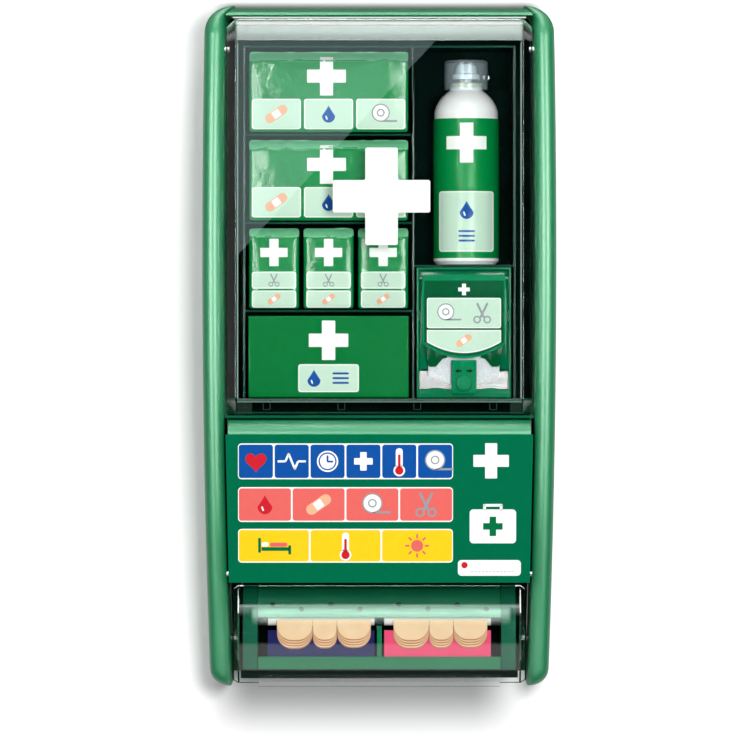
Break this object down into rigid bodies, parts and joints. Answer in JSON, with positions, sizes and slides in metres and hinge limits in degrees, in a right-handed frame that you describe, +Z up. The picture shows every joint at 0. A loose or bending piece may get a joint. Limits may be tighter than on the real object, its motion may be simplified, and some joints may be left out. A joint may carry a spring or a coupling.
{
  "type": "wall first-aid station",
  "caption": "Wall-mounted first-aid station: green cabinet with a clear upper door over stocked cells, a printed fold-down flap and a clear plaster cover that swings under.",
  "frame": {"origin": "centre of the back face, on the wall", "axes": "+Y into the wall, +Z up, +X to the right seen from the front"},
  "size_m": [0.29, 0.12, 0.56],
  "materials": {
    "green_plastic": "moulded, semi-gloss",
    "deep_green_plastic": "moulded, in the shade of the door",
    "clear_plastic": "clear moulding",
    "printed_plate": "printed sheet",
    "foil_pouch": "glossy printed foil round a folded dressing",
    "green_card": "printed carton",
    "blue_card": "printed card",
    "pink_card": "printed card",
    "beige_plaster": "woven plasters",
    "white_paper": "matt",
    "black_plastic": "matt",
    "white_plastic": "satin",
    "white_foam": "soft elastic foam",
    "white_lacquer": "white lacquer with a green label",
    "gilt_tin": "gilt",
    "steel": "bright"
  },
  "bodies": {
    "cabinet": {"back_panel": "green_plastic", "cutter_rail": "steel", "foam_core": "white_plastic", "foam_lid_pin": "steel", "foam_strip": "white_foam", "foam_tray": "green_plastic", "gel_carton": "green_card", "info_flap_pin_left": "steel", "info_flap_pin_right": "steel", "liner": "deep_green_plastic", "liner_screw_1": "steel", "liner_screw_2": "steel", "liner_screw_3": "steel", "liner_screw_4": "steel", "lower_shelf": "deep_green_plastic", "middle_shelf": "deep_green_plastic", "mini_pouch_1": "foil_pouch", "mini_pouch_2": "foil_pouch", "mini_pouch_3": "foil_pouch", "plaster_cover_pin_left": "steel", "plaster_cover_pin_right": "steel", "plaster_divider": "green_plastic", "plaster_end_left": "green_plastic", "plaster_end_right": "green_plastic", "plaster_shield": "green_plastic", "plaster_stack_left": "beige_plaster", "plaster_stack_right": "beige_plaster", "plaster_tray": "green_plastic", "refill_card_left": "blue_card", "refill_card_right": "pink_card", "refill_rod_left": "black_plastic", "refill_rod_right": "black_plastic", "refill_roll_left": "white_paper", "refill_roll_right": "white_paper", "reserve_carton": "green_card", "roof": "green_plastic", "side_panel_left": "green_plastic", "side_panel_right": "green_plastic", "spray_can": "white_lacquer", "spray_collar": "gilt_tin", "upper_door_pin_left": "steel", "upper_door_pin_right": "steel", "wound_pouch_lower": "foil_pouch", "wound_pouch_upper": "foil_pouch"},
    "upper_door": {"upper_door": "clear_plastic"},
    "info_flap": {"info_flap": "green_plastic", "printed_plate": "printed_plate"},
    "plaster_cover": {"plaster_cover": "clear_plastic"},
    "foam_lid": {"foam_lid": "green_plastic"},
    "cutter": {"cutter_slider": "green_plastic", "cutter_knob": "green_plastic", "cutter_blade": "steel"},
    "foam_roll": {"foam_roll": "white_foam"},
    "spray_button": {"spray_button": "white_plastic"},
    "spray_cap": {"spray_cap": "clear_plastic"}
  },
  "joints": [
    {"name": "upper_door_hinge", "type": "hinge", "parent": "cabinet", "child": "upper_door", "pos_m": [0, -0.094, 0.243], "axis": [-1, 0, 0], "range_deg": [0, 95]},
    {"name": "info_flap_hinge", "type": "hinge", "parent": "cabinet", "child": "info_flap", "pos_m": [0, -0.09, -0.1871], "axis": [1, 0, 0], "range_deg": [0, 100]},
    {"name": "plaster_cover_hinge", "type": "hinge", "parent": "cabinet", "child": "plaster_cover", "pos_m": [0, -0.032, -0.242], "axis": [1, 0, 0], "range_deg": [0, 70]},
    {"name": "foam_lid_hinge", "type": "hinge", "parent": "cabinet", "child": "foam_lid", "pos_m": [0.06975, -0.0667, 0.0556], "axis": [-1, 0, 0], "range_deg": [0, 36]},
    {"name": "cutter_slide", "type": "slide", "parent": "cabinet", "child": "cutter", "axis": [1, 0, 0], "range_m": [-0.022, 0.022]},
    {"name": "foam_roll_spin", "type": "hinge", "parent": "cabinet", "child": "foam_roll", "pos_m": [0.06975, -0.0387, 0.0247], "axis": [1, 0, 0], "continuous": true},
    {"name": "spray_button_press", "type": "slide", "parent": "cabinet", "child": "spray_button", "axis": [0, 0, -1], "range_m": [0, 0.0025], "stiffness_N_per_m": 400},
    {"name": "spray_cap_lift", "type": "slide", "parent": "cabinet", "child": "spray_cap", "axis": [0, 0, 1], "range_m": [0, 0.008]}
  ]
}
